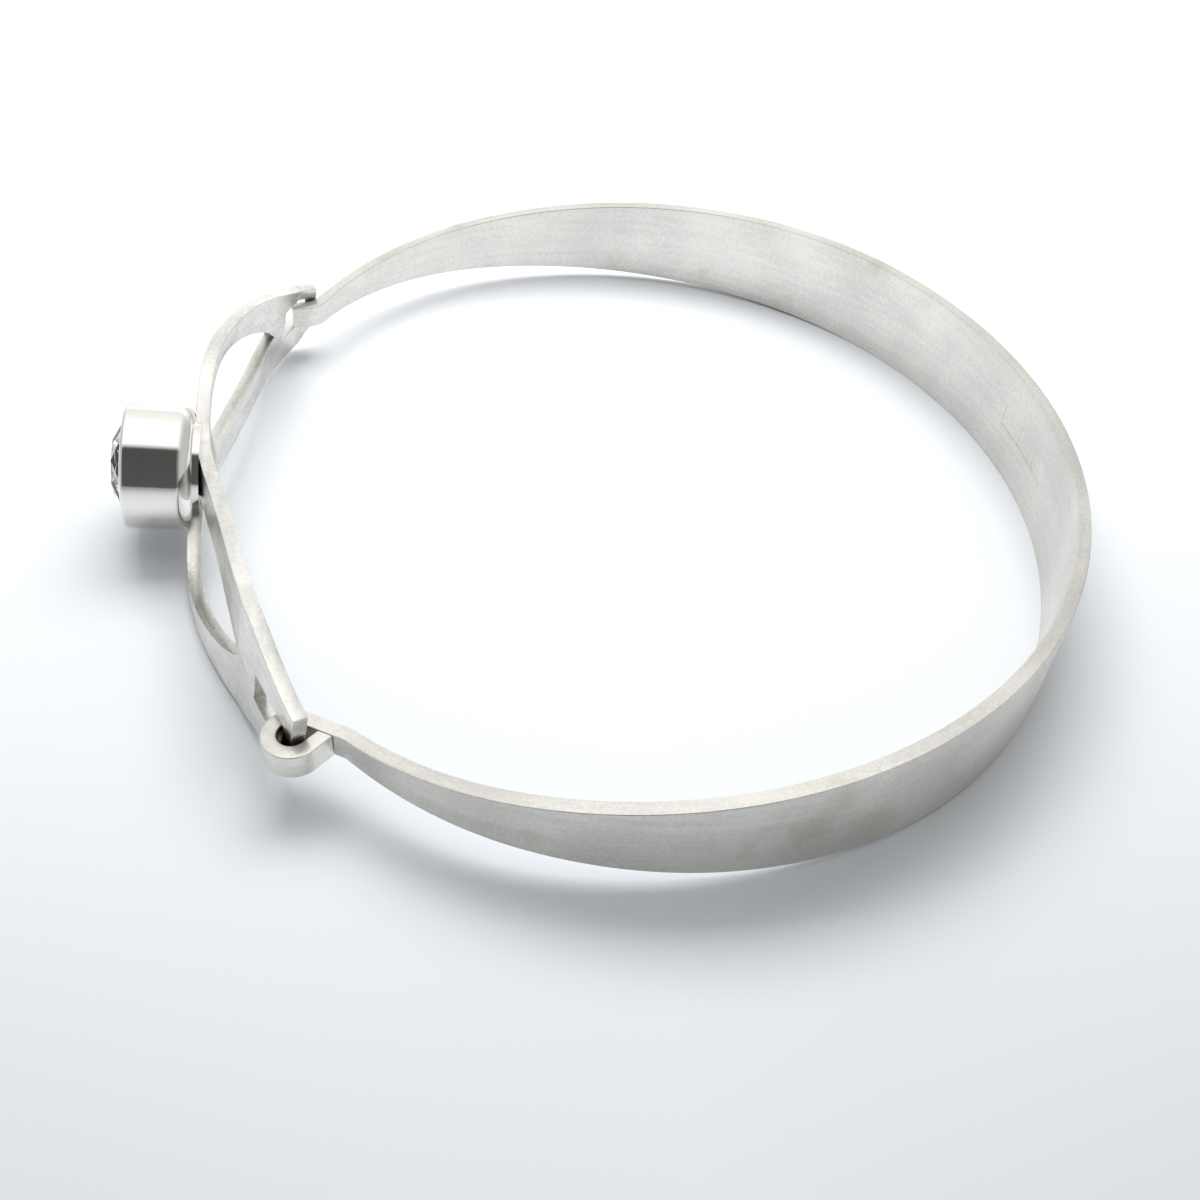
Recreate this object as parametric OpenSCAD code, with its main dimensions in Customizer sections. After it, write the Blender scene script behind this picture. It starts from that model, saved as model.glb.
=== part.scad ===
// Hinged bangle. A flat oval band of one springy strip, deepest at the back of the wrist and
// tapered to its two ends. The near end is curled into a closed eye, the hinge, and the far end
// is bent into an open hook, the clasp. A pierced front plaque of two crossing ribbons hangs
// between them on its two end bars, with a round cup soldered on its middle and a faceted stone
// in the cup. Lengths are in millimetres. X runs from the stone to the back of the wrist, Y runs
// from the hinge to the clasp and Z is up as the bangle lies on its side.

/* [Band] */
// Distance from the middle of the wrist hollow to the band at its back
back_x = 27.2; // [26:0.1:29]
// Radius of the band's middle line round the back of the wrist
back_r = 31.7; // [30:0.1:34]
// Angle that the back curve turns through on each side
back_turn = 33; // [30:1:37]
// Radius of the middle line at the sides
side_r = 28.1; // [27.2:0.1:29]
// Angle that each side curve turns through
side_turn = 74.5; // [70:0.5:78]
// Thickness of the strip
band_t = 0.85; // [0.7:0.05:1.1]
// Height of the strip at the back
band_h = 7.4; // [6:0.1:9]
// Distance from the middle of the wrist hollow to where the strip starts to taper
taper_x = 20; // [15:0.5:23]
// Height of the strip on the clasp's side, straight across from the hinge eye's neck
clasp_side_h = 2.3; // [1.8:0.1:2.8]

/* [Hinge and clasp] */
// Distance of the hinge axis in front of the middle of the wrist hollow
hinge_x = 21.8; // [21:0.1:22.5]
// Distance of the hinge axis to the side of the middle of the wrist hollow
hinge_y = 23.2; // [22.5:0.1:24]
// Radius of the hole in the hinge eye
eye_bore_r = 0.8; // [0.78:0.02:1]
// Radial wall of the hinge eye
eye_wall = 0.85; // [0.7:0.05:1.1]
// Height of the hinge eye and of the clasp's hook
eye_h = 1.6; // [1.2:0.05:1.7]
// Width of the fine line left where the curled end meets the strip
eye_seam = 0.12; // [0.08:0.02:0.2]
// Gap between the clasp's hook and the end bar inside it
hook_gap = 0.12; // [0.08:0.02:0.2]
// How far the hook runs on past the end bar's corner
hook_out = 0.5; // [0.3:0.1:1]
// Angle by which the hook opens away from the path of the end bar
hook_flare = 4; // [2:0.5:8]

/* [Plaque] */
// Length of the plaque from its middle to the hinge bar
near_half = 22; // [21.6:0.1:22.6]
// Length of the plaque from its middle to where its clasp end bends inwards
far_half = 19.5; // [19.2:0.1:20]
// Angle that the clasp end bends inwards
clasp_bend = 40; // [25:1:50]
// Length of the clasp end past its bend
clasp_end = 1.2; // [1:0.05:1.4]
// How far the end bars lie behind the plaque's middle
plaque_sag = 6.15; // [5.5:0.05:6.8]
// Turn of the closed plaque about the hinge
closed_turn = 2.4; // [1.8:0.1:3]
// Lean of the plaque about the line through its end bars
plaque_lean = 9; // [5:0.5:10]
// Thickness of the plaque
plaque_t = 0.85; // [0.6:0.05:0.85]
// Length from the middle to the tip of each eyelet
eyelet_half = 15.7; // [14:0.1:16.2]
// Length from the middle to the inner end of the clasp's slot
clasp_slot_from = 17.5; // [17:0.1:17.7]
// Length from the middle to the inner end of the hinge eye's slot
eye_slot_from = 18; // [17:0.1:18.6]
// Height of the slots for the hinge eye and the clasp's hook
slot_h = 2.05; // [2:0.05:2.3]
// How far the clasp's slot sits below the middle height
clasp_slot_drop = 0.1; // [0.05:0.05:0.15]
// Width of each end bar along the plaque
bar_w = 0.9; // [0.6:0.05:0.9]
// Height of the plaque's upper edge at the clasp bar
clasp_top = 1.65; // [1.4:0.05:1.9]
// Depth of the plaque's lower edge at the clasp bar
clasp_low = 1.4; // [1.3:0.05:1.8]
// Depth of the plaque's lower edge where the clasp end bends inwards
clasp_heel = 3.1; // [2.4:0.1:3.4]
// Length over which the lower edge rises from there
heel_run = 0.6; // [0.4:0.1:0.8]
// Height of the plaque's upper edge at the hinge bar
hinge_top = 2.35; // [1.6:0.05:2.6]
// Depth of the plaque's lower edge at the hinge bar
hinge_low = 1.5; // [1.3:0.05:1.9]
// How much higher the upper edge is at the hinge's eyelet than the lower edge is deep at the clasp's
hinge_crest = 1.2; // [0.6:0.05:1.4]
// How much deeper the lower edge is at the hinge's eyelet than the upper edge is high at the clasp's
hinge_foot = 0.65; // [0.2:0.05:0.68]
// How far the ribbons part across the plaque's thickness at the middle of an eyelet
ribbon_bow = 0.7; // [0.3:0.05:1]

/* [Cup and stone] */
// Outer radius of the cup
cup_r = 3.95; // [3.5:0.05:4.4]
// How far the cup droops from square on the plaque
cup_droop = 2.7; // [0:0.1:4]
// Depth of the cup from the plaque to its rim
cup_depth = 4.1; // [3.8:0.1:5]
// Rounding of the cup's back edge
cup_round = 0.9; // [0.5:0.1:1.2]
// Wall of the cup round the stone's widest line
cup_wall = 0.55; // [0.4:0.05:0.7]
// Width of the rim that is turned in over the stone's edge
lip_w = 0.4; // [0.3:0.05:0.6]
// Radius of the flat table on top of the stone
table_r = 1.9; // [1.5:0.1:2.1]
// Height of the stone's crown above its widest line
crown_h = 1.3; // [1.1:0.1:1.5]
// Height of the stone's edge at its widest line
girdle_h = 0.12; // [0.08:0.02:0.2]
// Depth of the stone below its widest line
pavilion_h = 2.2; // [1.8:0.1:2.4]
// How far the table stands out past the cup's rim
stone_proud = 0.7; // [0.5:0.05:0.8]
// Gap between the stone and its cup
stone_gap = 0.06; // [0.04:0.02:0.12]

/* [Hidden] */
taper_fn = 720;
small_fn = 48;
arc_step = 3;
bend_step = 9;
silver = "silver";
clear_stone = "lightcyan";

function turned(a) = [cos(a), sin(a)];
function heading(v) = atan2(v.y, v.x);
function flip(v) = [v.x, -v.y];
function steps(from, to, step) =
    let (n = ceil(abs(to - from) / step)) [for (i = [0:n]) from + (to - from) * i / n];
function backwards(list) = [for (i = [len(list) - 1:-1:0]) list[i]];
function all_of(lists) = [for (l = lists) for (v = l) v];

// The line of the plaque, seen from above: x behind the plaque's middle at a distance u along it
line_power = 1.7;
function line_x(u) = plaque_sag * pow(abs(u) / near_half, line_power);
function line_slope(u) = sign(u) * line_power * line_x(u) / max(abs(u), 0.01);
function line_way(u) = atan2(1, line_slope(u));
hinge_bar = [line_x(near_half), -near_half];
end_r = 0.8;
bend_way = line_way(far_half);
bend_c = [line_x(far_half), far_half] + end_r * turned(bend_way - 90);
end_way = bend_way - clasp_bend;
clasp_bar = bend_c + end_r * turned(end_way + 90) + (clasp_end - bar_w / 2) * turned(end_way);
bars = clasp_bar - hinge_bar;

// The places of the two bars when the bangle is closed
hinge = [-hinge_x, -hinge_y];
bar_corner = norm([bar_w, plaque_t]) / 2;
function closed(v) = [v.x * cos(closed_turn) - v.y * sin(closed_turn),
                      v.x * sin(closed_turn) + v.y * cos(closed_turn)];
clasp = hinge + closed(bars);

// The oval: a back arc, a side arc on each side, and past it a front arc that passes an end bar at
// a set distance
back_c = [back_x - back_r, 0];
side_c = back_c + (back_r - side_r) * turned(back_turn);
front_turn = back_turn + side_turn;
function arc_shift(bar, distance) =
    let (to_bar = bar - side_c, reach = side_r + distance)
    (to_bar * to_bar - reach * reach) / (2 * (to_bar * turned(front_turn) - reach));

// The clasp's side: the front arc runs tangent to the hook round the clasp bar
hook_r = bar_corner + hook_gap + band_t / 2;
clasp_shift = arc_shift(clasp, hook_r);
clasp_arc_r = side_r - clasp_shift;
clasp_arc_c = side_c + clasp_shift * turned(front_turn);
hook_turn = heading(clasp - clasp_arc_c);
hook_from = hook_turn + 180;
open_way = heading([-(clasp - hinge).y, (clasp - hinge).x]) + hook_flare;
hook_to = hook_from - (hook_from - open_way - 90 + 360) % 360;
hook_run = bar_corner + hook_out;

// The hinge's side, worked out at the clasp's side of the oval and mirrored to its own. The front
// arc passes the eye just where the eye's outside sinks into the strip.
eye_r = eye_bore_r + eye_wall;
eye_c = flip(hinge);
eye_sink = 0.04;
eye_shift = arc_shift(eye_c, eye_r + band_t / 2 - eye_sink);
eye_arc_r = side_r - eye_shift;
eye_arc_c = side_c + eye_shift * turned(front_turn);
neck_run = eye_bore_r + eye_wall / 2;
eye_turn = heading(eye_c - eye_arc_c) - neck_run / eye_arc_r * 180 / PI;
neck = eye_arc_c + eye_arc_r * turned(eye_turn);
function by_neck(along, out) = neck + along * turned(eye_turn + 90) + out * turned(eye_turn);
neck_in = by_neck(0, -band_t / 2);
tip_back = eye_wall / 2;
tip_t = 0.35 * band_t;
tip_turn = tip_back / eye_arc_r * 180 / PI;
curl_tip = by_neck(-tip_back, band_t / 2 + eye_seam + tip_t);

// The taper on each side: one large arc above and one below, through the strip's height at taper_x
// and its height h across the eye's neck
taper_run = back_x - taper_x;
neck_x_run = back_x - neck.x;
function taper_c(h) = ((band_h * band_h - h * h) / 4 - (neck_x_run * neck_x_run - taper_run * taper_run))
                      / (band_h - h);
function taper_r(h) = norm([taper_run, band_h / 2 - taper_c(h)]);

// The eyelets' arches rise until the one at the hinge's side reaches the surface below
rest_gap = 0.03;
arch_u = eyelet_half / 2;
arch_back = hinge_bar.x + (near_half - arch_u) / bars.y * bars.x
            - (line_x(arch_u) - ribbon_bow + plaque_t / 2);
arch_h = (band_h / 2 - rest_gap + sin(plaque_lean) * arch_back) / cos(plaque_lean);

// The upper ribbon from the hinge's side to the clasp's: its place along the plaque as a share of
// eyelet_half, and the heights of its lower and upper edges as shares of arch_h
place = 0;
low = 1;
high = 2;
RIBBON = [
    [-1.00, 0.00, 0.67],
    [-0.80, -0.03, 0.56],
    [-0.50, -0.05, 0.51],
    [-0.20, -0.06, 0.475],
    [0.00, -0.07, 0.45],
    [0.17, 0.38, 0.74],
    [0.33, 0.67, 0.94],
    [0.50, 0.73, 1.00],
    [0.66, 0.63, 0.97],
    [0.83, 0.42, 0.905],
    [0.94, 0.20, 0.80],
    [1.00, 0.00, 0.74]
];
ribbon_steps = 40;

function row_at(s, i = 0) = i >= len(RIBBON) - 2 || s <= RIBBON[i + 1][place] ? i : row_at(s, i + 1);
function rise(i, column) =
    let (a = max(i - 1, 0), b = min(i + 1, len(RIBBON) - 1))
    (RIBBON[b][column] - RIBBON[a][column]) / (RIBBON[b][place] - RIBBON[a][place]);
function edge(s, column) =
    let (i = row_at(s), w = RIBBON[i + 1][place] - RIBBON[i][place], t = (s - RIBBON[i][place]) / w)
    (2 * t * t * t - 3 * t * t + 1) * RIBBON[i][column]
    + (t * t * t - 2 * t * t + t) * w * rise(i, column)
    + (3 * t * t - 2 * t * t * t) * RIBBON[i + 1][column]
    + (t * t * t - t * t) * w * rise(i + 1, column);

// The outer edge, which flares further out at the hinge's side by a crest on its straight end or by a
// foot on its arched end
function outer_edge(s, crest, foot) =
    arch_h * edge(s, high) + (s < 0 ? crest * pow(-s, 1.5) : foot * pow(s, 10));

// The ribbon's own line swings in front of the plaque's line at its arch and behind it before that
function ribbon_x(u) = line_x(u) - ribbon_bow * sin(180 * u / eyelet_half);
function half_t(u) = plaque_t / 2 * norm([1, line_slope(u)]);

// The cup stands on the front face of the plaque's middle. Its lathe outline runs out from there.
girdle_r = cup_r - cup_wall - stone_gap;
girdle_z = cup_depth + stone_proud - crown_h;
lip_r = cup_r - cup_wall - lip_w;
lip_z = girdle_z + crown_h * (girdle_r + stone_gap - lip_r) / (girdle_r - table_r);
stone_facets = 16;
culet_r = 0.15;
cup_sink = plaque_t / 2;

// The bangle's own middle, so that it stands over the origin
cup_lean = plaque_lean - cup_droop;
cup_way = [-cos(cup_lean) * cos(closed_turn), -cos(cup_lean) * sin(closed_turn), sin(cup_lean)];
plaque_mid = hinge + closed([-hinge_bar.x * cos(plaque_lean), near_half]);
way_side = sqrt(1 - cup_way.x * cup_way.x);
rim_x = plaque_mid.x + cup_way.x * (plaque_t / 2 + cup_depth) - cup_r * way_side;
table_x = plaque_mid.x + cup_way.x * (plaque_t / 2 + cup_depth + stone_proud) - table_r * way_side;
mid_x = (back_x + band_t / 2 + min(rim_x, table_x)) / 2;

module in_place() {
    translate([-mid_x, 0, band_h / 2]) children();
}

module plaque_place() {
    in_place()
    translate([hinge.x, hinge.y, 0])
    rotate([0, 0, closed_turn])
    rotate(a = plaque_lean, v = [bars.x, bars.y, 0])
    translate([-hinge_bar.x, -hinge_bar.y, 0])
    children();
}

// A point of the strip at an angle round the oval, on its outer side for 1 and its inner for -1
function on_band(a, side) =
    let (turn = abs(a), in_back = turn < back_turn, in_side = turn < front_turn,
         c = in_back ? back_c : in_side ? side_c : a < 0 ? eye_arc_c : clasp_arc_c,
         r = in_back ? back_r : in_side ? side_r : a < 0 ? eye_arc_r : clasp_arc_r,
         p = c + (r + side * band_t / 2) * turned(turn))
    a < 0 ? flip(p) : p;

// The whole strip seen from above, with the curled eye at one end and the hook at the other
module strip_outline() {
    near = all_of([steps(-eye_turn, -front_turn, arc_step), steps(-front_turn, -back_turn, arc_step)]);
    far = all_of([steps(back_turn, front_turn, arc_step), steps(front_turn, hook_turn, arc_step)]);
    round_oval = concat(near, steps(-back_turn, back_turn, arc_step), far);
    outside = [for (a = round_oval) if (a > tip_turn - eye_turn) a];
    hook = steps(hook_from, hook_to, bend_step);
    hook_end = hook_run * turned(open_way);
    eye = steps(heading(curl_tip - eye_c) + acos(eye_r / norm(curl_tip - eye_c)),
                heading(neck_in - eye_c) - acos(eye_r / norm(neck_in - eye_c)) + 360, bend_step);
    polygon(concat(
        [for (a = round_oval) on_band(a, -1)],
        [for (a = hook) clasp + (hook_r + band_t / 2) * turned(a)],
        [clasp + (hook_r + band_t / 2) * turned(hook_to) + hook_end,
         clasp + (hook_r - band_t / 2) * turned(hook_to) + hook_end],
        [for (a = backwards(hook)) clasp + (hook_r - band_t / 2) * turned(a)],
        [for (a = backwards(outside)) on_band(a, 1)],
        [on_band(tip_turn - eye_turn, 1), flip(curl_tip)],
        [for (a = eye) flip(eye_c + eye_r * turned(a))]));
}

// The space that the strip keeps within on the clasp's side, with its height h across the neck
module taper_space(h) {
    wide = 2 * side_r;
    translate([0, wide, 0])
    rotate([90, 0, 0])
    linear_extrude(wide) {
        intersection() {
            translate([back_x, taper_c(h)]) circle(taper_r(h), $fn = taper_fn);
            translate([back_x, -taper_c(h)]) circle(taper_r(h), $fn = taper_fn);
            translate([neck.x - 2 * eye_r, -band_h / 2]) square([2 * wide, band_h]);
        }
        translate([-wide, -eye_h / 2]) square([wide + neck.x, eye_h]);
    }
}

// The hole of the eye, and the fine line where the curled tip lies on the strip
module eye_hole() {
    mouth = 0.7 * eye_bore_r;
    across_seam = mouth * turned(heading(curl_tip - eye_c) + 90);
    translate([eye_c.x, eye_c.y, -eye_h]) cylinder(h = 2 * eye_h, r = eye_bore_r, $fn = small_fn);
    translate([0, 0, -eye_h])
    linear_extrude(2 * eye_h)
    polygon([eye_c + across_seam, eye_c - across_seam,
             by_neck(-tip_back - eye_seam, band_t / 2), by_neck(-tip_back - eye_seam, band_t / 2 + eye_seam)]);
}

module back_band() {
    color(silver)
    in_place()
    difference() {
        intersection() {
            translate([0, 0, -band_h / 2]) linear_extrude(band_h) strip_outline();
            union() {
                taper_space(clasp_side_h);
                mirror([0, 1, 0]) taper_space(eye_h);
            }
        }
        mirror([0, 1, 0]) eye_hole();
    }
}

// One ribbon from tip to tip of the two eyelets
module ribbon(crest, foot) {
    tall = 4 * arch_h;
    stations = steps(-1, 1, 2 / ribbon_steps);
    intersection() {
        translate([0, 0, -tall / 2])
        linear_extrude(tall)
        polygon(concat(
            [for (s = stations) [ribbon_x(s * eyelet_half) - half_t(s * eyelet_half), s * eyelet_half]],
            [for (s = backwards(stations)) [ribbon_x(s * eyelet_half) + half_t(s * eyelet_half), s * eyelet_half]]));
        rotate([90, 0, 90])
        translate([0, 0, -near_half])
        linear_extrude(2 * near_half)
        polygon(concat(
            [for (s = stations) [s * eyelet_half, arch_h * edge(s, low)]],
            [for (s = backwards(stations)) [s * eyelet_half, outer_edge(s, crest, foot)]]));
    }
}

// The plain end of the plaque past an eyelet, with a slot inside its end bar. It runs along the
// plaque's line up to a distance, and past that it follows the places and headings of a path. Its
// upper and lower edges are given by their heights across the plaque.
module end_plate(to_u, path, slot_u, slot_z, upper, lower) {
    tall = 4 * arch_h;
    cut = 2 * plaque_t;
    joint_t = half_t(eyelet_half);
    line = [for (u = steps(eyelet_half, to_u, 1)) if (u > eyelet_half) [[line_x(u), u], line_way(u)]];
    stations = concat(line, path);
    end = stations[len(stations) - 1];
    slot_from = [[line_x(slot_u), slot_u], line_way(slot_u)];
    slot_to = [end[0] - bar_w * turned(end[1]), end[1]];
    function off(station, d) = station[0] + d * turned(station[1] - 90);
    difference() {
        intersection() {
            translate([0, 0, -tall / 2])
            linear_extrude(tall)
            polygon(concat(
                [[line_x(eyelet_half) - joint_t, eyelet_half]],
                [for (p = stations) off(p, -plaque_t / 2)],
                [for (p = backwards(stations)) off(p, plaque_t / 2)],
                [[line_x(eyelet_half) + joint_t, eyelet_half]]));
            rotate([90, 0, 90])
            translate([0, 0, -near_half])
            linear_extrude(2 * near_half)
            polygon(concat(
                upper,
                [[end[0].y + bar_w, upper[len(upper) - 1].y], [end[0].y + bar_w, lower[len(lower) - 1].y]],
                backwards(lower)));
        }
        translate([0, 0, slot_z - slot_h / 2])
        linear_extrude(slot_h)
        polygon([off(slot_from, -cut), off(slot_to, -cut), off(slot_to, cut), off(slot_from, cut)]);
    }
}

module clasp_plate() {
    bend = [for (a = steps(0, clasp_bend, bend_step)) if (a > 0)
        [bend_c + end_r * turned(bend_way + 90 - a), bend_way - a]];
    last = bend[len(bend) - 1];
    tongue_end = [last[0] + clasp_end * turned(end_way), end_way];
    end_plate(far_half, concat(bend, [tongue_end]), clasp_slot_from, -clasp_slot_drop,
        [[eyelet_half, outer_edge(1, 0, 0)], [far_half, clasp_top]],
        [[eyelet_half, -outer_edge(-1, 0, 0)], [far_half, -clasp_heel], [far_half + heel_run, -clasp_low]]);
}

module hinge_plate() {
    way = line_way(near_half);
    end_plate(near_half, [[[line_x(near_half), near_half] + bar_w / 2 * turned(way), way]], eye_slot_from, 0,
        [[eyelet_half, outer_edge(1, 0, hinge_foot)], [near_half, hinge_low]],
        [[eyelet_half, -outer_edge(-1, hinge_crest, 0)], [near_half, -hinge_top]]);
}

// Stands a piece on the plaque's middle, with its own Z out along the cup
module cup_place() {
    rotate([0, -cup_droop, 0])
    rotate([0, -90, 0])
    children();
}

module cup() {
    arc_points = [for (a = [0:15:90])
        [cup_r - cup_round + cup_round * sin(a), cup_round - cup_round * cos(a)]];
    cup_place()
    translate([0, 0, plaque_t / 2])
    difference() {
        union() {
            rotate_extrude($fn = small_fn)
            polygon(concat([[0, 0]], arc_points, [[cup_r, cup_depth], [0, cup_depth]]));
            translate([0, 0, -cup_sink]) cylinder(h = 2 * cup_sink, r = cup_r - cup_round, $fn = small_fn);
        }
        rotate_extrude($fn = small_fn)
        polygon([
            [0, girdle_z - girdle_h - pavilion_h - stone_gap],
            [culet_r + stone_gap, girdle_z - girdle_h - pavilion_h - stone_gap],
            [girdle_r + stone_gap, girdle_z - girdle_h],
            [girdle_r + stone_gap, girdle_z],
            [lip_r, lip_z],
            [lip_r, cup_depth + stone_proud],
            [0, cup_depth + stone_proud]]);
    }
}

module front_plaque() {
    color(silver)
    plaque_place() {
        ribbon(hinge_crest, 0);
        rotate([180, 0, 0]) ribbon(0, hinge_foot);
        clasp_plate();
        rotate([180, 0, 0]) hinge_plate();
        cup();
    }
}

module stone() {
    thin = 0.02;
    color(clear_stone)
    plaque_place()
    cup_place()
    translate([0, 0, plaque_t / 2 + girdle_z])
    hull() {
        translate([0, 0, crown_h - thin]) cylinder(h = thin, r = table_r, $fn = stone_facets / 2);
        translate([0, 0, -girdle_h]) cylinder(h = girdle_h, r = girdle_r, $fn = stone_facets);
        translate([0, 0, -girdle_h - pavilion_h]) cylinder(h = thin, r = culet_r, $fn = stone_facets / 2);
    }
}

back_band();
front_plaque();
stone();
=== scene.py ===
import math

import bmesh
import bpy
from mathutils import Matrix, Vector


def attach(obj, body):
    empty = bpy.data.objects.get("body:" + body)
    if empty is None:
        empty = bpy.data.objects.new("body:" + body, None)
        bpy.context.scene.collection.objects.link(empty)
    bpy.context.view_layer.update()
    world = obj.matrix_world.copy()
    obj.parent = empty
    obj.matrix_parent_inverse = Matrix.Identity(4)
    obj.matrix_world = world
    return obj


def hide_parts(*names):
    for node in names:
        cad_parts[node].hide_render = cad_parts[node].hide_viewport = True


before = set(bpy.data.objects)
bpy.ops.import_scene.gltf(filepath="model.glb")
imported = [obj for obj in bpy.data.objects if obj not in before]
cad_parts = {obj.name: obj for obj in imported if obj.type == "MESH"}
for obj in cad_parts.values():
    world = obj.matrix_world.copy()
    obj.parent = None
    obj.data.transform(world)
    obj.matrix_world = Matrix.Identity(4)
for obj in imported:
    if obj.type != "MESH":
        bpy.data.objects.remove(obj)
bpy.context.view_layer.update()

# Shapes are worked out in millimetres round the middle of the wrist hollow, as in the part's source,
# and the matrix laid_down moves them to the frame's place and to metres.
MM = 0.001
BAND_T = 0.85
BAND_H = 7.4
MIDDLE_X = -3.28855
laid_down = Matrix.Scale(MM, 4) @ Matrix.Translation((-MIDDLE_X, 0, BAND_H / 2))


def turned(degrees):
    """The direction at an angle round Z."""
    return Vector((math.cos(math.radians(degrees)), math.sin(math.radians(degrees)), 0))


def heading(way):
    return math.degrees(math.atan2(way.y, way.x))


def flip(place):
    """The same place on the other side of the bangle's middle plane."""
    return Vector((place.x, -place.y, place.z))


# The photograph's camera, found from the oval of the band: turned to the left, looking down, and
# rolled a little
CAMERA_YAW = -0.165924
CAMERA_PITCH = 0.774002
CAMERA_ROLL = 0.098565
CAMERA_PLACE = Vector((-13.75769 - MIDDLE_X, -67.49243, 54.06384 + BAND_H / 2)) * MM
PHOTO_SIDE = 1200
FOCAL_PIXELS = 1300
SENSOR = 36.0


def place_camera():
    data = bpy.data.cameras.new("photo_camera")
    data.sensor_width = SENSOR
    data.lens = SENSOR * FOCAL_PIXELS / PHOTO_SIDE
    data.clip_start = 0.005
    data.clip_end = 20
    back = Vector((math.sin(CAMERA_YAW) * math.cos(CAMERA_PITCH),
                   -math.cos(CAMERA_YAW) * math.cos(CAMERA_PITCH), math.sin(CAMERA_PITCH)))
    right = Vector((math.cos(CAMERA_YAW), math.sin(CAMERA_YAW), 0))
    up = back.cross(right)
    level = Matrix((right, up, back)).transposed()
    camera = bpy.data.objects.new("photo_camera", data)
    bpy.context.scene.collection.objects.link(camera)
    rolled = level @ Matrix.Rotation(CAMERA_ROLL, 3, "Z")
    camera.matrix_world = Matrix.Translation(CAMERA_PLACE) @ rolled.to_4x4()
    bpy.context.scene.camera = camera


place_camera()


class Wire:
    """A socket of a finish. Sums and products of such sockets make the Math nodes."""

    def __init__(self, finish, socket):
        self.finish = finish
        self.socket = socket

    def worked(self, operation, *values):
        """A Math node on some values."""
        return self.finish.node("Math", dict(enumerate(values)), {"operation": operation})["Value"]

    def __add__(self, other):
        return self.worked("ADD", self, other)

    def __radd__(self, other):
        return self.worked("ADD", other, self)

    def __sub__(self, other):
        return self.worked("SUBTRACT", self, other)

    def __rsub__(self, other):
        return self.worked("SUBTRACT", other, self)

    def __mul__(self, other):
        return self.worked("MULTIPLY", self, other)

    def __rmul__(self, other):
        return self.worked("MULTIPLY", other, self)

    def __truediv__(self, other):
        return self.worked("DIVIDE", self, other)

    def __rtruediv__(self, other):
        return self.worked("DIVIDE", other, self)

    def __pow__(self, other):
        return self.worked("POWER", self, other)

    def __rpow__(self, other):
        return self.worked("POWER", other, self)

    def size(self):
        return self.worked("ABSOLUTE", self)

    def or_more(self, other):
        """The larger of this and another."""
        return self.worked("MAXIMUM", self, other)

    def way_round(self, x):
        """The angle of the point at x along X and at this along Y."""
        return self.worked("ARCTAN2", self, x)


class Finish:
    """The nodes of one metal, stone, table or sky."""

    def __init__(self, owner):
        self.owner = owner
        owner.use_nodes = True
        self.tree = owner.node_tree
        self.tree.nodes.clear()

    def node(self, kind, sockets=(), settings=(), stops=()):
        """Makes any node. Its settings come first, then its ramp's stops, then its sockets."""
        made = self.tree.nodes.new("ShaderNode" + kind)
        for key, value in dict(settings).items():
            setattr(made, key, value)
        if stops:
            ramp = made.color_ramp.elements
            while len(ramp) < len(stops):
                ramp.new(0.5)
            for stop, (at, tone) in zip(ramp, stops):
                stop.position = at
                stop.color = (tone, tone, tone, 1)
        for key, value in dict(sockets).items():
            if isinstance(value, Wire):
                self.tree.links.new(value.socket, made.inputs[key])
            else:
                made.inputs[key].default_value = value
        return {s.name: Wire(self, s) for s in made.outputs if s.enabled}

    def place(self):
        return self.node("TexCoord")["Object"]

    def apart(self, vector):
        made = self.node("SeparateXYZ", {"Vector": vector})
        return made["X"], made["Y"], made["Z"]

    def noise(self, vector, scale, detail=3.0, rough=0.55):
        sockets = {"Vector": vector, "Scale": scale, "Detail": detail, "Roughness": rough}
        return self.node("TexNoise", sockets)["Fac"]

    def drawn_out(self, x, y, z, detail=4.0):
        """A noise whose three scales differ, so that it runs in one direction."""
        return self.noise(self.node("CombineXYZ", {"X": x, "Y": y, "Z": z})["Vector"], 1.0, detail, 0.6)

    def ramp(self, value, low, high):
        """0 below low and 1 above high, smooth in between."""
        return self.node("MapRange", {"Value": value, "From Min": low, "From Max": high},
                         {"interpolation_type": "SMOOTHSTEP"})["Result"]

    def blend(self, share, first, second):
        """A colour between two."""
        return self.node("Mix", {0: share, 6: first, 7: second}, {"data_type": "RGBA"})["Result"]

    def tarnished_and_shaded(self, place, colour):
        """A colour darkened inside the hinge's eye: brown tarnish where no polishing reaches, with
        painted shade of the hollow.
        """
        x, y, z = self.apart(place)
        off_x = x - (HINGE.x - MIDDLE_X) * MM
        off_y = y - HINGE.y * MM
        from_axis = (off_x * off_x + off_y * off_y) ** 0.5
        outside = self.ramp(from_axis, *((BORE_R + far) * MM for far in FADE_OUT))
        eye_top = (BAND_H + EYE_H) / 2
        above = self.ramp(z, *((eye_top + far) * MM for far in FADE_UP))
        # Inside the eye the colour turns to tarnish with painted shade
        return self.blend(outside.or_more(above), TARNISH_AND_SHADE, colour)

    def pressed(self, *heights):
        """A normal from heights, each with its strength and the depth it stands for in millimetres."""
        below = {}
        for height, strength, depth in heights:
            sockets = {"Height": height, "Strength": strength, "Distance": depth * MM}
            below = {"Normal": self.node("Bump", {**sockets, **below})["Normal"]}
        return below["Normal"]

    def show(self, sockets):
        self.node("OutputMaterial", {"Surface": self.node("BsdfPrincipled", sockets)["BSDF"]})
        return self.owner
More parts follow.
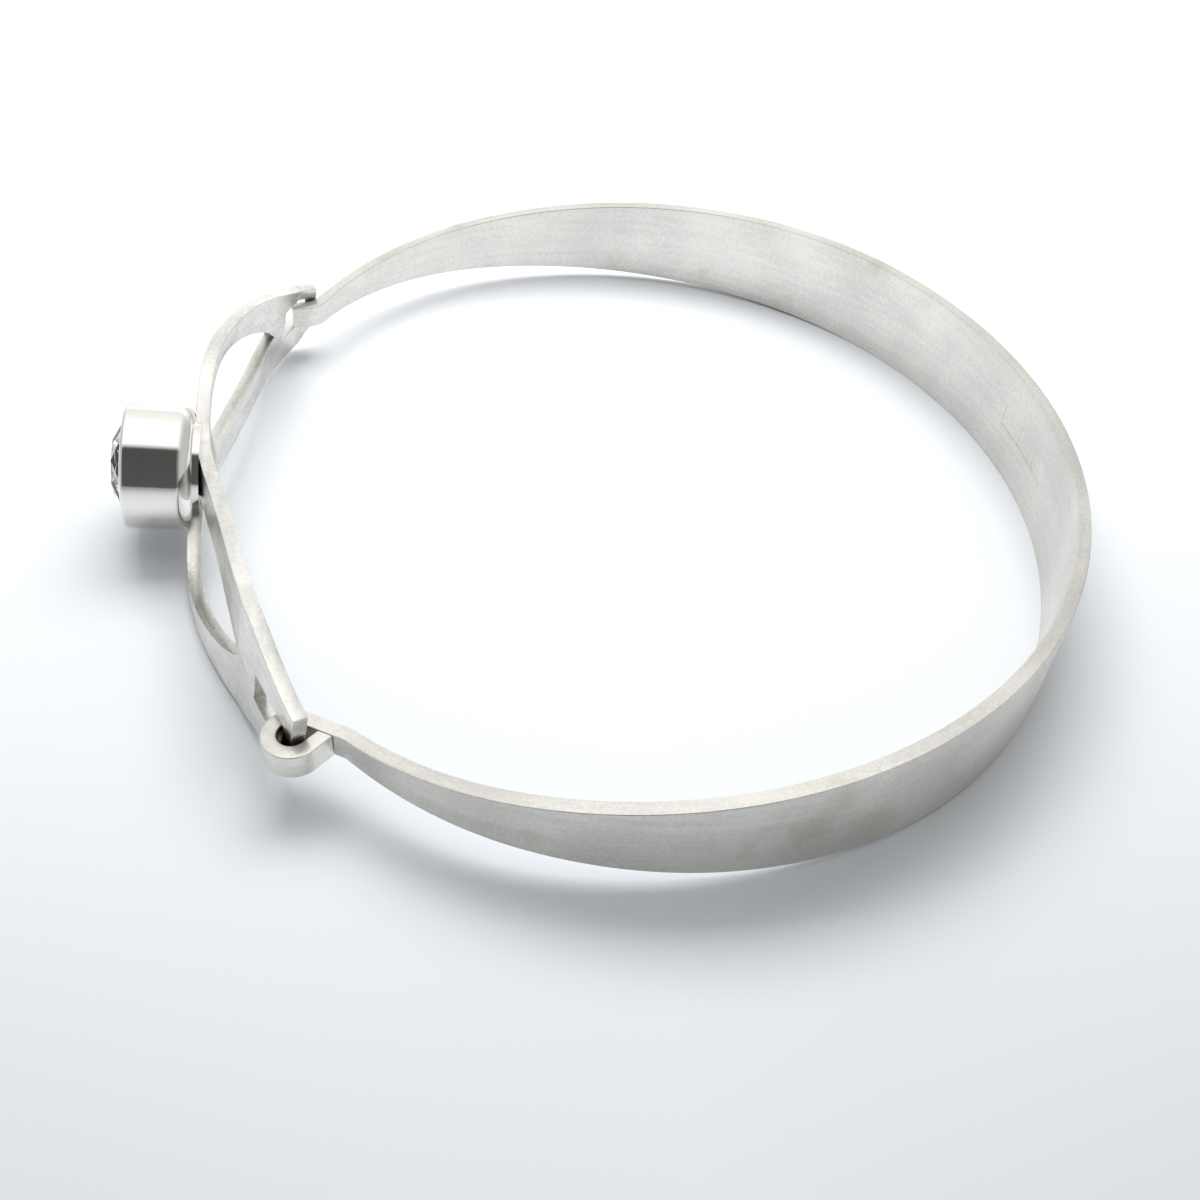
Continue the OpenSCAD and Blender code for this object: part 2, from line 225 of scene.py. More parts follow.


# Colours of the metals, the stone and the table. The TONES run from the darker to the lighter places,
# and the scales of the finishes' noises are per metre.
# The hinge eye's brown tarnish, with painted shade of the hollow laid into it
TARNISH_AND_SHADE = (0.16, 0.13, 0.09, 1)
STAINED = (0.58, 0.54, 0.45, 1)
SATIN_TONES = (0.63, 0.62, 0.585, 1), (0.82, 0.808, 0.76, 1)
POLISHED_TONES = (0.62, 0.612, 0.58, 1), (0.86, 0.85, 0.81, 1)
MIRROR_TONES = (0.80, 0.79, 0.76, 1), (0.88, 0.87, 0.845, 1)
STONE_TONES = (0.96, 0.97, 0.98, 1), (1.0, 1.0, 1.0, 1)
STONE_IOR = 1.76
# The table's tones and its front colour are painted shade, darker towards the camera
TABLE_SHADE_TONES = (0.70, 0.725, 0.76, 1), (0.84, 0.86, 0.89, 1)
TABLE_FRONT_SHADE = (0.50, 0.54, 0.59, 1)
# Where the tarnish and painted shade fade, in millimetres outside the eye's bore and above the eye's top
FADE_OUT = 0.02, 0.1
FADE_UP = -0.25, 0.15


def satin_silver():
    """The band's metal: rolled, rubbed lengthwise, with faint stains from wear."""
    f = Finish(bpy.data.materials.new("satin_silver"))
    place = f.place()
    x, y, z = f.apart(place)
    off_x = x + MIDDLE_X * MM
    radius = (off_x * off_x + y * y) ** 0.5
    around = y.way_round(off_x)
    rubbed = f.drawn_out(around * 1.7, radius * 2600.0, z * 2600.0)
    filed = f.drawn_out(around * 42.0, radius * 900.0, z * 300.0, 3.0)
    grain = f.noise(place, 5200.0, 2.0, 0.7)
    cloud = f.noise(place, 130.0, 3.0, 0.5)
    patch = f.noise(place, 55.0, 2.0, 0.5)
    stain = f.ramp(f.noise(place, 190.0, 3.0, 0.55), 0.60, 0.72)
    worn = cloud * 0.45 + grain * 0.33 + rubbed * 0.22
    tone = f.blend(f.ramp(worn, 0.36, 0.64), *SATIN_TONES)
    colour = f.tarnished_and_shaded(place, f.blend(stain * 0.5, tone, STAINED))
    marks = f.pressed((rubbed, 0.3, 0.025), (filed, 0.35, 0.04), (grain, 0.5, 0.02), (cloud, 0.4, 0.12))
    return f.show({"Base Color": colour, "Metallic": 1.0, "Roughness": 0.22 + patch * 0.12 + rubbed * 0.1,
                   "Normal": marks})


def polished_silver():
    """The plaque's metal: polished by hand, softer than a mirror, with the saw's fine marks."""
    f = Finish(bpy.data.materials.new("hand_polished_silver"))
    place = f.place()
    x, y, z = f.apart(place)
    grain = f.noise(place, 3600.0, 2.0, 0.7)
    cloud = f.noise(place, 210.0, 3.0, 0.5)
    sawn = f.drawn_out(x * 1400.0, y * 110.0, z * 1400.0)
    worn = cloud * 0.4 + grain * 0.25 + sawn * 0.35
    colour = f.tarnished_and_shaded(place, f.blend(f.ramp(worn, 0.34, 0.64), *POLISHED_TONES))
    marks = f.pressed((sawn, 0.5, 0.03), (grain, 0.4, 0.012), (cloud, 0.5, 0.12))
    return f.show({"Base Color": colour, "Metallic": 1.0, "Roughness": 0.17 + cloud * 0.14 + sawn * 0.08,
                   "Normal": marks})


def mirror_silver():
    """The cup's metal: turned and polished to a mirror, not quite even."""
    f = Finish(bpy.data.materials.new("mirror_silver"))
    place = f.place()
    wave = f.noise(place, 320.0, 2.0, 0.4)
    fine = f.noise(place, 2400.0, 3.0, 0.6)
    colour = f.blend(wave, *MIRROR_TONES)
    return f.show({"Base Color": colour, "Metallic": 1.0, "Roughness": 0.05 + fine * 0.07,
                   "Normal": f.pressed((wave, 0.35, 0.05), (fine, 0.12, 0.008))})


def clear_stone():
    """A colourless cut stone."""
    f = Finish(bpy.data.materials.new("clear_stone"))
    colour = f.blend(f.noise(f.place(), 900.0, 2.0, 0.5), *STONE_TONES)
    return f.show({"Base Color": colour, "Roughness": 0.0, "IOR": STONE_IOR, "Transmission Weight": 1.0})


def piece_from(bm, name, finish, body, node, smooth_below=40):
    """Closes a bmesh's seams, lays it in its place and makes an object that rides on a body."""
    bmesh.ops.remove_doubles(bm, verts=bm.verts, dist=0.002)
    bmesh.ops.recalc_face_normals(bm, faces=bm.faces)
    bm.transform(laid_down)
    for f in bm.faces:
        f.smooth = True
    for e in bm.edges:
        e.smooth = not e.is_manifold or e.calc_face_angle(0) < math.radians(smooth_below)
    mesh = bpy.data.meshes.new(name)
    bm.to_mesh(mesh)
    bm.free()
    mesh.materials.append(finish)
    piece = bpy.data.objects.new(name, mesh)
    bpy.context.scene.collection.objects.link(piece)
    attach(piece, body)
    if node:
        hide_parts(node)
    return piece


def steady_shading(piece):
    """Keeps large flats flat next to small round edges."""
    weighted = piece.modifiers.new("steady", "WEIGHTED_NORMAL")
    weighted.mode = "FACE_AREA"
    weighted.weight = 80
    weighted.keep_sharp = True


def edges_in(parts):
    return [g for g in parts if isinstance(g, bmesh.types.BMEdge)]


def rounded_end(bm, thick, high, edge, segments=3):
    """The end outline of a bar, thick along X and high along Z, with small round corners."""
    made = bmesh.ops.create_grid(bm, x_segments=1, y_segments=1, size=0.5)
    bmesh.ops.scale(bm, vec=(thick, high, 1), verts=made["verts"])
    bmesh.ops.bevel(bm, geom=made["verts"], offset=edge, offset_type="OFFSET", segments=segments,
                    profile=0.5, affect="VERTICES", material=-1)
    bmesh.ops.rotate(bm, cent=(0, 0, 0), matrix=Matrix.Rotation(math.radians(90), 3, "X"), verts=bm.verts)
    bmesh.ops.delete(bm, geom=list(bm.faces), context="FACES_ONLY")
    return list(bm.verts) + list(bm.edges)


def roll(bm, outline, centre, degrees, step=1.5):
    """Carries an outline round a centre, as a strip is bent round a mandrel."""
    return bmesh.ops.spin(bm, geom=outline, cent=centre, axis=(0, 0, 1), angle=math.radians(degrees),
                          steps=max(2, math.ceil(abs(degrees) / step)), use_duplicate=False)["geom_last"]


def draw(bm, outline, way):
    """Carries an outline straight on."""
    made = bmesh.ops.extrude_edge_only(bm, edges=edges_in(outline))["geom"]
    verts = [g for g in made if isinstance(g, bmesh.types.BMVert)]
    bmesh.ops.translate(bm, vec=way, verts=verts)
    return verts + [e for e in edges_in(made) if set(e.verts) <= set(verts)]


def close_end(bm, outline):
    bmesh.ops.contextual_create(bm, geom=edges_in(outline))


# The band, the hinge's eye and the clasp's hook, as in the part's source
BACK_X = 27.2
BACK_R = 31.7
BACK_TURN = 33
SIDE_R = 28.1
SIDE_TURN = 74.5
FRONT_TURN = BACK_TURN + SIDE_TURN
BACK_C = Vector((BACK_X - BACK_R, 0, 0))
SIDE_C = BACK_C + (BACK_R - SIDE_R) * turned(BACK_TURN)
TAPER_X = 20
CLASP_SIDE_H = 2.3
HINGE = Vector((-21.8, -23.2, 0))
CLASP = Vector((-23.6595, 18.989, 0))
BORE_R = 0.8
EYE_R = BORE_R + BAND_T
EYE_H = 1.6
EYE_RING = BORE_R + BAND_T / 2
HOOK_R = 1.16397
HOOK_TO = 276.524
OPEN_WAY = 186.524
HOOK_RUN = 1.12
EYE_SINK = 0.04
NECK_RUN = 2.0
NECK_BEND_R = 1.1
SEAM = 0.06
EDGE = 0.06


SATIN = satin_silver()
POLISHED = polished_silver()
MIRROR = mirror_silver()
CLEAR = clear_stone()


def arc_shift(bar, distance):
    """How far a front arc's centre lies from the side arc's, for it to pass a bar at a distance."""
    to_bar = bar - SIDE_C
    reach = SIDE_R + distance
    return (to_bar.dot(to_bar) - reach ** 2) / (2 * (to_bar.dot(turned(FRONT_TURN)) - reach))


clasp_shift = arc_shift(CLASP, HOOK_R)
clasp_arc_c = SIDE_C + clasp_shift * turned(FRONT_TURN)
hook_turn = heading(CLASP - clasp_arc_c)
eye_c = flip(HINGE)
eye_shift = arc_shift(eye_c, EYE_R + BAND_T / 2 - EYE_SINK)
eye_arc_r = SIDE_R - eye_shift
eye_arc_c = SIDE_C + eye_shift * turned(FRONT_TURN)
eye_turn = heading(eye_c - eye_arc_c) - math.degrees(NECK_RUN / eye_arc_r)
neck = eye_arc_c + eye_arc_r * turned(eye_turn)


def strip_height(x, across_neck):
    """The strip's height at a distance along X: a large arc above and below, never less than the eye."""
    taper_run = BACK_X - TAPER_X
    neck_run = BACK_X - neck.x
    centre = (BAND_H ** 2 - across_neck ** 2) / 4 - (neck_run ** 2 - taper_run ** 2)
    centre /= BAND_H - across_neck
    radius = math.hypot(taper_run, BAND_H / 2 - centre)
    rise = radius ** 2 - (x - BACK_X) ** 2
    return max(EYE_H, min(BAND_H, 2 * (centre + math.sqrt(rise)))) if rise > 0 else EYE_H


# The plain panels on the inner face
PANELS = 3
PANELS_FROM = -2.2
PANEL_W = 2.35
PANEL_STEP = 2.5
PANEL_LOW = -0.6
PANEL_TOP = 1.0
PANEL_DEPTH = 0.08
PANEL_SLOPE = 0.06
NEAR_PANELS = 8
FACE_SLACK = 0.01


def press_panels(bm):
    """Three plain sunk panels side by side on the inner face at the back, with nothing in them."""
    inner_r = BACK_R - BAND_T / 2 + FACE_SLACK

    def inner_face(f):
        way = f.calc_center_median() - BACK_C
        return abs(way.y) < NEAR_PANELS and way.x > 0 and way.xy.length < inner_r

    bmesh.ops.recalc_face_normals(bm, faces=bm.faces)
    starts = [PANELS_FROM + k * PANEL_STEP for k in range(PANELS)]
    spans = [(start, start + PANEL_W) for start in starts]
    cuts = [((0, y, 0), (0, 1, 0)) for span in spans for y in span]
    cuts += [((0, 0, z), (0, 0, 1)) for z in (PANEL_LOW, PANEL_TOP)]
    for place, normal in cuts:
        faces = [f for f in bm.faces if inner_face(f)]
        around = list(dict.fromkeys(g for f in faces for g in [*f.edges, *f.verts]))
        bmesh.ops.bisect_plane(bm, geom=faces + around, dist=0.0001, plane_co=place, plane_no=normal)
    for start, end in spans:
        floor = [f for f in bm.faces if inner_face(f) and start < f.calc_center_median().y < end
                 and PANEL_LOW < f.calc_center_median().z < PANEL_TOP]
        bmesh.ops.inset_region(bm, faces=floor, thickness=PANEL_SLOPE, depth=-PANEL_DEPTH,
                               use_even_offset=True)


def make_band():
    """One strip, bent from the middle of the back to the hook and to the eye."""
    bm = bmesh.new()
    start = rounded_end(bm, BAND_T, BAND_H, EDGE)
    bmesh.ops.translate(bm, vec=(BACK_X, 0, 0), verts=bm.verts)
    # The clasp's side: back, side and front, then the hook bent outwards and its straight run
    last = roll(bm, start, BACK_C, BACK_TURN)
    last = roll(bm, last, SIDE_C, SIDE_TURN)
    last = roll(bm, last, clasp_arc_c, hook_turn - FRONT_TURN)
    last = roll(bm, last, CLASP, HOOK_TO - (hook_turn + 180), 6)
    last = draw(bm, last, HOOK_RUN * turned(OPEN_WAY))
    close_end(bm, last)
    # The hinge's side: back, side and front, a bend at the neck, and the eye curled back to the strip
    along = flip(turned(eye_turn + 90))
    out = flip(turned(eye_turn))
    to_eye = HINGE - flip(neck)
    neck_angle = math.atan2(to_eye.dot(out), to_eye.dot(along)) - math.asin(EYE_RING / to_eye.length)
    neck_turn = math.degrees(neck_angle)
    by_neck_turn = Matrix.Rotation(neck_angle, 3, "Z")
    straight = math.sqrt(to_eye.length ** 2 - EYE_RING ** 2)
    bend_run = NECK_BEND_R * math.tan(neck_angle / 2)
    before = math.degrees(bend_run / eye_arc_r)
    last = roll(bm, start, BACK_C, -BACK_TURN)
    last = roll(bm, last, flip(SIDE_C), -SIDE_TURN)
    last = roll(bm, last, flip(eye_arc_c), -(eye_turn - before - FRONT_TURN))
    neck_bend_c = flip(neck) - bend_run * along + NECK_BEND_R * out
    last = roll(bm, last, neck_bend_c, neck_turn, 5)
    last = draw(bm, last, (straight - bend_run) * (by_neck_turn @ along))
    # The eye's end runs straight back to the strip and is filed to lie flat on it, with a fine seam
    last = roll(bm, last, HINGE, 270 - neck_turn, 5)
    to_strip = (BORE_R + EYE_RING * math.sin(neck_angle)) / math.cos(neck_angle)
    last = draw(bm, last, -(to_strip - SEAM) * out)
    end = [g for g in last if isinstance(g, bmesh.types.BMVert)]
    middle = sum((v.co for v in end), Vector()) / len(end)
    bmesh.ops.rotate(bm, cent=middle, matrix=by_neck_turn, verts=end)
    close_end(bm, last)
    # The strip's height is brought down to its taper, and its rounded edges keep their size
    flat = BAND_H / 2 - 2 * EDGE
    for v in bm.verts:
        tapered = strip_height(v.co.x, CLASP_SIDE_H if v.co.y > 0 else EYE_H) / 2 - 2 * EDGE
        past = abs(v.co.z) - flat
        v.co.z = math.copysign(tapered + past, v.co.z) if past > 0 else v.co.z * tapered / flat
    press_panels(bm)
    steady_shading(piece_from(bm, "band_strip", SATIN, "band", "back_band"))


make_band()


# The plaque, as in the part's source
NEAR_HALF = 22.0
FAR_HALF = 19.5
CLASP_BEND = 40
CLASP_END = 1.2
SAG = 6.15
SAG_POWER = 1.7
CLOSED_TURN = 2.4
LEAN = 9
PLAQUE_T = 0.85
EYELET_HALF = 15.7
CLASP_SLOT_FROM = 17.5
EYE_SLOT_FROM = 18.0
SLOT_H = 2.05
CLASP_SLOT_DROP = 0.1
BAR_W = 0.9
CLASP_TOP = 1.65
CLASP_LOW = 1.4
CLASP_HEEL = 3.1
HEEL_RUN = 0.5
HEEL_RISE = 0.1
TOE_RUN = 0.2
HINGE_TOP = 2.35
HINGE_LOW = 1.5
HINGE_CREST = 1.2
CREST_POWER = 1.5
HINGE_FOOT = 0.65
FOOT_POWER = 10
RIBBON_BOW = 0.7
ARCH_H = 4.55958
END_R = 0.8
# The upper ribbon: its place along the eyelets, and the shares of the arch's height where its lower
# and upper edges run
RIBBON = [
    (-1.00, 0.00, 0.67), (-0.80, -0.03, 0.56), (-0.50, -0.05, 0.51), (-0.20, -0.06, 0.475),
    (0.00, -0.07, 0.45), (0.17, 0.38, 0.74), (0.33, 0.67, 0.94), (0.50, 0.73, 1.00),
    (0.66, 0.63, 0.97), (0.83, 0.42, 0.905), (0.94, 0.20, 0.80), (1.00, 0.00, 0.74)]
LOW, HIGH = 1, 2


def ribbon_edge(share, which):
    """The height of the upper ribbon's lower or upper edge, on a smooth curve through its rows."""
    share = min(1.0, max(-1.0, share))
    i = max(k for k in range(len(RIBBON) - 1) if k == 0 or share > RIBBON[k][0])

    def rise(k):
        a, b = max(k - 1, 0), min(k + 1, len(RIBBON) - 1)
        return (RIBBON[b][which] - RIBBON[a][which]) / (RIBBON[b][0] - RIBBON[a][0])

    w = RIBBON[i + 1][0] - RIBBON[i][0]
    t = (share - RIBBON[i][0]) / w
    leaving = (2 * t ** 3 - 3 * t ** 2 + 1) * RIBBON[i][which] + (t ** 3 - 2 * t ** 2 + t) * w * rise(i)
    reaching = (3 * t ** 2 - 2 * t ** 3) * RIBBON[i + 1][which] + (t ** 3 - t ** 2) * w * rise(i + 1)
    return ARCH_H * (leaving + reaching)


def outer_edge(share, crest=0.0, foot=0.0):
    """The ribbon's outer edge, which flares further out at the hinge's side."""
    flare = crest * (-share) ** CREST_POWER if share < 0 else foot * share ** FOOT_POWER
    return ribbon_edge(share, HIGH) + flare


def sag_x(u):
    """How far the plaque's line lies behind its middle at u."""
    return SAG * (abs(u) / NEAR_HALF) ** SAG_POWER


def sag_way(u):
    """The heading of the plaque's line at u."""
    slope = math.copysign(SAG_POWER * sag_x(u) / max(abs(u), 0.01), u)
    return math.degrees(math.atan2(1, slope))


bend_way = sag_way(FAR_HALF)
end_way = bend_way - CLASP_BEND
bend_c = Vector((sag_x(FAR_HALF), FAR_HALF, 0)) + END_R * turned(bend_way - 90)
BEND_RUN = END_R * math.radians(CLASP_BEND)
FAR_END = FAR_HALF + BEND_RUN + CLASP_END
hinge_bar = Vector((sag_x(NEAR_HALF), -NEAR_HALF, 0))
clasp_bar = bend_c + END_R * turned(end_way + 90) + (CLASP_END - BAR_W / 2) * turned(end_way)
plaque_place = (Matrix.Translation(HINGE) @ Matrix.Rotation(math.radians(CLOSED_TURN), 4, "Z")
                @ Matrix.Rotation(math.radians(LEAN), 4, clasp_bar - hinge_bar)
                @ Matrix.Translation(-hinge_bar))


def plaque_line(u):
    """A place on the plaque's line. Past FAR_HALF it bends inwards and then runs straight."""
    if u <= FAR_HALF:
        return Vector((sag_x(u), u, 0))
    past = min(u - FAR_HALF, BEND_RUN)
    way = bend_way - math.degrees(past / END_R)
    return bend_c + END_R * turned(way + 90) + (u - FAR_HALF - past) * turned(way)


def between(x, places):
    """A height at x on straight lines through some places."""
    for (x0, z0), (x1, z1) in zip(places, places[1:]):
        if x <= x1:
            return z0 + (z1 - z0) * (x - x0) / (x1 - x0)
    return places[-1][1]


# The heights of the two plates' upper and lower edges, from an eyelet out to the end bar
CLASP_UPPER = [(EYELET_HALF, outer_edge(1)), (FAR_HALF, CLASP_TOP)]
CLASP_LOWER = [(EYELET_HALF, -outer_edge(-1)), (FAR_HALF, -CLASP_HEEL),
               (FAR_HALF + HEEL_RUN, HEEL_RISE - CLASP_HEEL), (FAR_END - TOE_RUN, -CLASP_LOW)]
HINGE_UPPER = [(EYELET_HALF, outer_edge(-1, crest=HINGE_CREST)), (NEAR_HALF, HINGE_TOP)]
HINGE_LOWER = [(EYELET_HALF, -outer_edge(1, foot=HINGE_FOOT)), (NEAR_HALF, -HINGE_LOW)]
# How far along the plaque each side's corners are filed round
CLASP_FILED = 0.3
HINGE_FILED = 1.6


def top_edge(u):
    """The height of the sheet's upper edge at u."""
    if abs(u) <= EYELET_HALF:
        return outer_edge(u / EYELET_HALF, crest=HINGE_CREST)
    return between(abs(u), CLASP_UPPER if u > 0 else HINGE_UPPER)


def bottom_edge(u):
    """The height of the sheet's lower edge at u."""
    if abs(u) <= EYELET_HALF:
        return -outer_edge(-u / EYELET_HALF, foot=HINGE_FOOT)
    return between(abs(u), CLASP_LOWER if u > 0 else HINGE_LOWER)


def filed_round(edge, u):
    """An outline's height with its corners filed round, more at the hinge's side."""
    reach = CLASP_FILED if u > 0 else HINGE_FILED
    places = [u + reach * k / 4 for k in range(-4, 5)]
    return sum(edge(place) for place in places) / len(places)


def slot_edge(u, up):
    """The height of the slot's lower (-1) or upper (1) edge, past an eyelet."""
    slot_from = CLASP_SLOT_FROM if u > 0 else EYE_SLOT_FROM
    into = min(1.0, (abs(u) - EYELET_HALF) / (slot_from - EYELET_HALF))
    return into * (up * SLOT_H / 2 - (CLASP_SLOT_DROP if u > 0 else 0))


def sheet_point(u, row):
    """Where a row of the flat sheet lies once it is bent and its ribbons are parted."""
    place = plaque_line(u)
    bottom = filed_round(bottom_edge, u)
    top = filed_round(top_edge, u)
    if abs(u) > EYELET_HALF:
        return Vector((place.x, place.y, [bottom, slot_edge(u, -1), slot_edge(u, 1), top][row]))
    share = u / EYELET_HALF
    bow = RIBBON_BOW * math.sin(math.pi * share)
    edges = [bottom, -ribbon_edge(-share, LOW), ribbon_edge(share, LOW), top]
    bows = [bow, bow, -bow, -bow]
    if row in (1, 2) and edges[2] <= edges[1]:
        return Vector((place.x, place.y, (edges[1] + edges[2]) / 2))
    return Vector((place.x + bows[row], place.y, edges[row]))


def steps(start, end, step):
    """Places about a step apart, from start up to the last one before end."""
    count = max(1, round(abs(end - start) / step))
    return [start + (end - start) * i / count for i in range(count)]


STATION_STEP = 0.35
RUBBED_EDGE = 0.1


def make_plaque():
    """A flat sheet with its openings cut out, bent and parted into ribbons, and then given its wall."""
    eye_bar = -(NEAR_HALF - BAR_W / 2)
    # Where the eyelets begin, to a thousandth of EYELET_HALF
    crossing = next(k / 1000 for k in range(1, 400)
                    if ribbon_edge(k / 1000, LOW) + ribbon_edge(-k / 1000, LOW) > 0) * EYELET_HALF
    stops = [-(NEAR_HALF + BAR_W / 2), eye_bar, -EYE_SLOT_FROM, -EYELET_HALF, -crossing,
             crossing, EYELET_HALF, CLASP_SLOT_FROM, FAR_HALF, FAR_END - BAR_W, FAR_END]
    stations = [u for a, b in zip(stops, stops[1:]) for u in steps(a, b, STATION_STEP)] + [FAR_END]
    cut = [(eye_bar, -EYE_SLOT_FROM), (-EYELET_HALF, -crossing), (crossing, EYELET_HALF),
           (CLASP_SLOT_FROM, FAR_END - BAR_W)]
    bm = bmesh.new()
    columns = len(stations) - 1
    bmesh.ops.create_grid(bm, x_segments=columns, y_segments=3, size=0.5)
    openings = []
    for f in bm.faces:
        centre = f.calc_center_median()
        column = min(columns - 1, int((centre.x + 0.5) * columns))
        middle = (stations[column] + stations[column + 1]) / 2
        if abs(centre.y) < 0.1 and any(a < middle < b for a, b in cut):
            openings.append(f)
    bmesh.ops.delete(bm, geom=openings, context="FACES")
    for v in bm.verts:
        v.co = sheet_point(stations[round((v.co.x + 0.5) * columns)], round((v.co.y + 0.5) * 3))
    bmesh.ops.remove_doubles(bm, verts=bm.verts, dist=0.01)
    bmesh.ops.dissolve_degenerate(bm, edges=bm.edges, dist=0.005)
    bmesh.ops.recalc_face_normals(bm, faces=bm.faces)
    bm.transform(plaque_place)
    plaque = piece_from(bm, "plaque_sheet", POLISHED, "plaque", "front_plaque",
                        smooth_below=60)
    sheet = plaque.modifiers.new("sheet", "SOLIDIFY")
    sheet.thickness = PLAQUE_T * MM
    sheet.offset = 0
    sheet.use_even_offset = True
    edge = plaque.modifiers.new("rubbed_edge", "BEVEL")
    edge.width = RUBBED_EDGE * MM
    edge.segments = 3
    edge.limit_method = "ANGLE"
    edge.angle_limit = math.radians(45)
    steady_shading(plaque)


# The cup and the stone, as in the part's source. Their Z runs out along the cup.
CUP_R = 3.95
CUP_DROOP = 2.7
CUP_DEPTH = 4.1
CUP_ROUND = 0.9
CUP_WALL = 0.55
LIP_W = 0.4
CUP_SINK = 0.4
CUP_BACK_SOFT = 0.9
RIM_SOFT = 0.24
LIP_SOFT = 0.08
WELL_R = 0.3
TABLE_R = 1.9
CROWN_H = 1.3
GIRDLE_H = 0.12
PAVILION_H = 2.2
STONE_PROUD = 0.7
STONE_GAP = 0.06
GIRDLE_R = CUP_R - CUP_WALL - STONE_GAP
GIRDLE_Z = CUP_DEPTH + STONE_PROUD - CROWN_H
LIP_R = CUP_R - CUP_WALL - LIP_W
LIP_Z = GIRDLE_Z + CROWN_H * (GIRDLE_R + STONE_GAP - LIP_R) / (GIRDLE_R - TABLE_R)
cup_place = (plaque_place @ Matrix.Rotation(math.radians(-CUP_DROOP), 4, "Y")
             @ Matrix.Rotation(math.radians(-90), 4, "Y") @ Matrix.Translation((0, 0, PLAQUE_T / 2)))


def turn_on_lathe(bm, outline, soft, segments=96):
    """Turns an outline of (radius, height) points. Each point has its own rounding in soft."""
    points = [bm.verts.new((r, 0, z)) for r, z in outline]
    for a, b in zip(points, points[1:]):
        bm.edges.new((a, b))
    for point, rounding in zip(points, soft):
        if rounding:
            bmesh.ops.bevel(bm, geom=[point], offset=rounding, offset_type="OFFSET", segments=6,
                            profile=0.5, affect="VERTICES", material=-1)
    bmesh.ops.spin(bm, geom=list(bm.verts) + list(bm.edges), cent=(0, 0, 0), axis=(0, 0, 1),
                   angle=math.radians(360), steps=segments, use_merge=True, use_duplicate=False)


def make_cup():
    """The round cup, with its turned-in rim and the seat for the stone."""
    bm = bmesh.new()
    seat = GIRDLE_Z - GIRDLE_H
    step_r = CUP_R - CUP_ROUND
    inner_r = GIRDLE_R + STONE_GAP
    outline = [(0, -CUP_SINK), (step_r, -CUP_SINK), (step_r, 0), (CUP_R, 0), (CUP_R, CUP_DEPTH),
               (LIP_R, CUP_DEPTH), (LIP_R, LIP_Z), (inner_r, GIRDLE_Z), (inner_r, seat),
               (WELL_R, seat - PAVILION_H)]
    turn_on_lathe(bm, outline, [0, 0, 0, CUP_BACK_SOFT, RIM_SOFT, LIP_SOFT, 0, 0, 0, 0])
    bm.transform(cup_place)
    steady_shading(piece_from(bm, "stone_cup", MIRROR, "plaque", None))


def ring_of(bm, count, radius, height, turn=0.0):
    """A ring of facet corners at a height, turned round the stone's axis."""
    made = bmesh.ops.create_circle(bm, segments=count, radius=radius)["verts"]
    bmesh.ops.rotate(bm, cent=(0, 0, 0), matrix=Matrix.Rotation(math.radians(turn), 3, "Z"), verts=made)
    bmesh.ops.translate(bm, vec=(0, 0, height), verts=made)


KITE_R = 2.62
LOW_R = 0.8


def make_stone():
    """A round brilliant: table, stars, kites and halves above, mains and halves below."""
    bm = bmesh.new()
    half = 22.5
    flat = math.cos(math.radians(half))
    ring_of(bm, 8, TABLE_R, CROWN_H)
    ring_of(bm, 8, KITE_R, CROWN_H * (GIRDLE_R - KITE_R * flat) / (GIRDLE_R - TABLE_R), half)
    ring_of(bm, 16, GIRDLE_R, 0)
    ring_of(bm, 16, GIRDLE_R, -GIRDLE_H)
    ring_of(bm, 8, LOW_R, -GIRDLE_H - PAVILION_H * (1 - LOW_R * flat / GIRDLE_R), half)
    bm.verts.new((0, 0, -GIRDLE_H - PAVILION_H))
    bmesh.ops.convex_hull(bm, input=list(bm.verts))
    bmesh.ops.dissolve_limit(bm, angle_limit=math.radians(0.5), verts=bm.verts, edges=bm.edges)
    bmesh.ops.translate(bm, vec=(0, 0, GIRDLE_Z), verts=bm.verts)
    bm.transform(cup_place)
    piece_from(bm, "cut_stone", CLEAR, "plaque", "stone", smooth_below=1)


make_plaque()
make_cup()
make_stone()


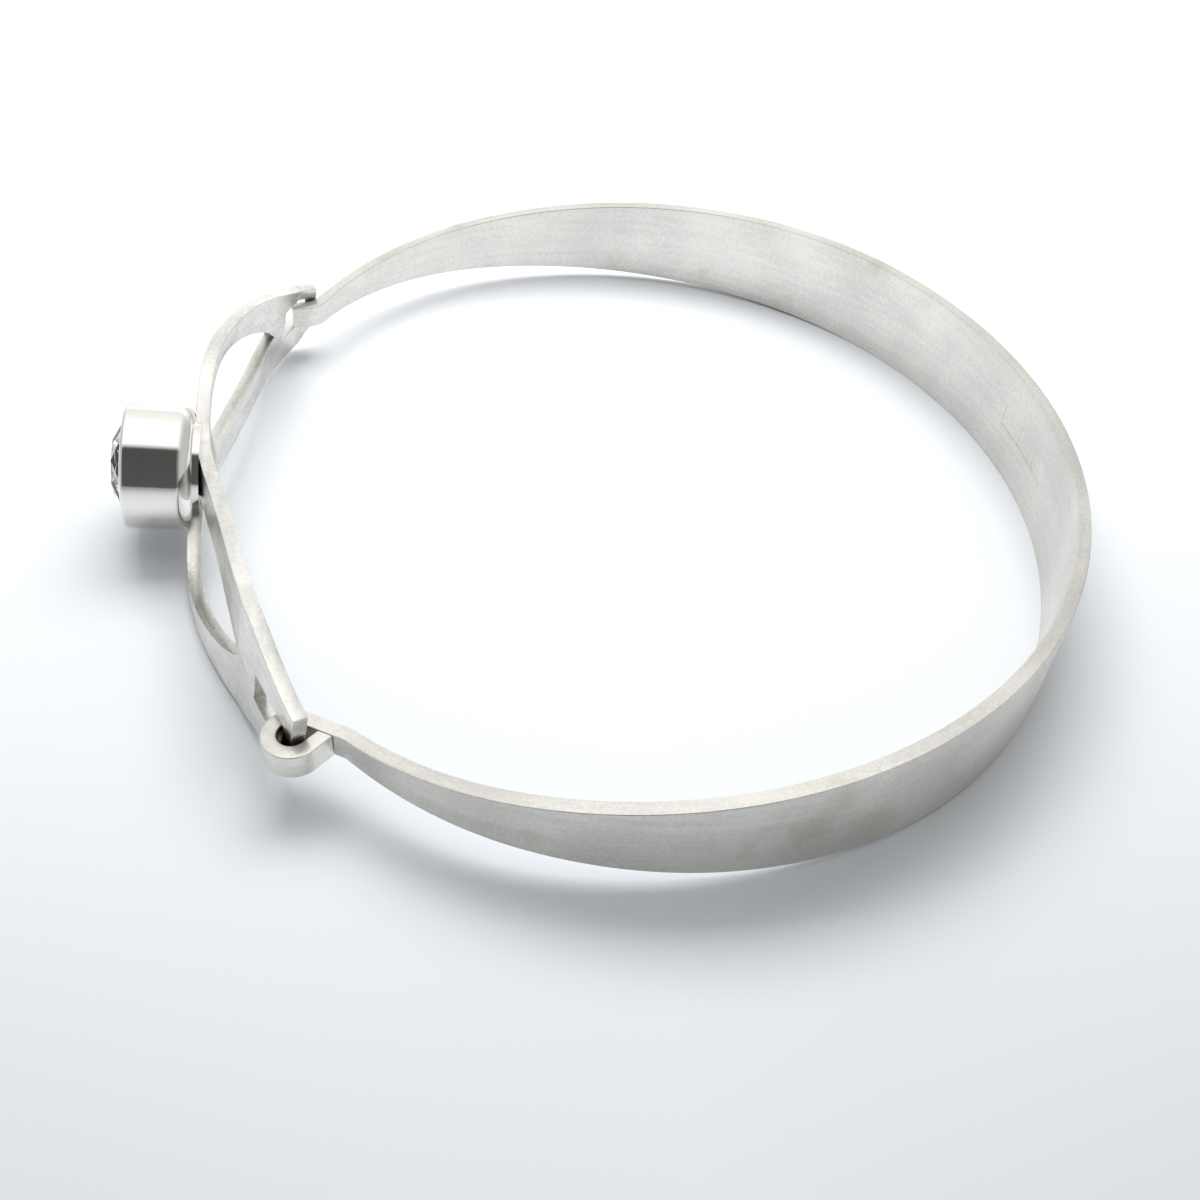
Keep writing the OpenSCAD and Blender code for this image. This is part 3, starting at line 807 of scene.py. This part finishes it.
def make_stage():
    """A plain white table, with painted shade making it a little darker towards the camera."""
    bm = bmesh.new()
    bmesh.ops.create_grid(bm, x_segments=8, y_segments=8, size=2.0)
    mesh = bpy.data.meshes.new("table_top")
    bm.to_mesh(mesh)
    bm.free()
    table = bpy.data.objects.new("table_top", mesh)
    f = Finish(bpy.data.materials.new("white_table"))
    place = f.place()
    x, y, _ = f.apart(place)
    # The painted shade at the front reaches further back at the sides
    front = f.ramp(x.size() * 0.4 - y, 0.015, 0.09) * (0.9 + f.noise(place, 9.0, 2.0, 0.5) * 0.2)
    # Painted shade: darker nearer the camera, lighter further back
    colour = f.blend(f.ramp(y, 0.0, 0.12), *TABLE_SHADE_TONES)
    colour = f.blend(front, colour, TABLE_FRONT_SHADE)
    mesh.materials.append(f.show({"Base Color": colour, "Roughness": 0.55}))
    bpy.context.scene.collection.objects.link(table)


def lamp(name, place, target, wide, deep, watts, colour):
    """A soft lamp that the metal doesn't mirror."""
    data = bpy.data.lights.new(name, "AREA")
    data.shape = "RECTANGLE"
    data.size = wide
    data.size_y = deep
    data.energy = watts
    data.color = colour
    made = bpy.data.objects.new(name, data)
    bpy.context.scene.collection.objects.link(made)
    made.location = place
    made.visible_glossy = False
    made.rotation_mode = "QUATERNION"
    made.rotation_quaternion = (Vector(target) - Vector(place)).to_track_quat("-Z", "Y")


def make_sky():
    """Soft white overhead and behind the bangle, greyer at the sides, dark behind the camera."""
    f = Finish(bpy.data.worlds.new("studio"))
    bpy.context.scene.world = f.owner
    x, y, z = f.apart(f.node("TexCoord")["Generated"])
    tilt = z.way_round(y * -1.0) / math.pi
    over = f.blend(f.node("ValToRGB", {"Fac": tilt}, stops=SKY)["Color"], (0, 0, 0, 1), SKY_COLOUR)
    colour = f.blend(f.ramp(x.size(), 0.15, 0.75), over, SKY_SIDE)
    glow = f.node("Background", {"Color": colour, "Strength": SKY_STRENGTH})
    f.node("OutputWorld", {"Surface": glow["Background"]})


# How bright the sky is from the horizon behind the camera, over the top, to the one behind the bangle
SKY = [(0.0, 0.07), (0.38, 0.06), (0.43, 0.95), (0.62, 0.98),
       (0.74, 0.80), (0.86, 0.72), (0.94, 1.3), (1.0, 1.5)]
SKY_COLOUR = (1.0, 0.995, 0.98, 1)
SKY_SIDE = (0.44, 0.44, 0.435, 1)
SKY_STRENGTH = 1.4

make_stage()
make_sky()
lamp("overhead", place=(0.0, 0.06, 0.13), target=(0.0, 0.03, 0.0), wide=0.14, deep=0.08, watts=0.22,
     colour=(1.0, 0.99, 0.98))
bpy.context.scene.view_settings.view_transform = "Standard"
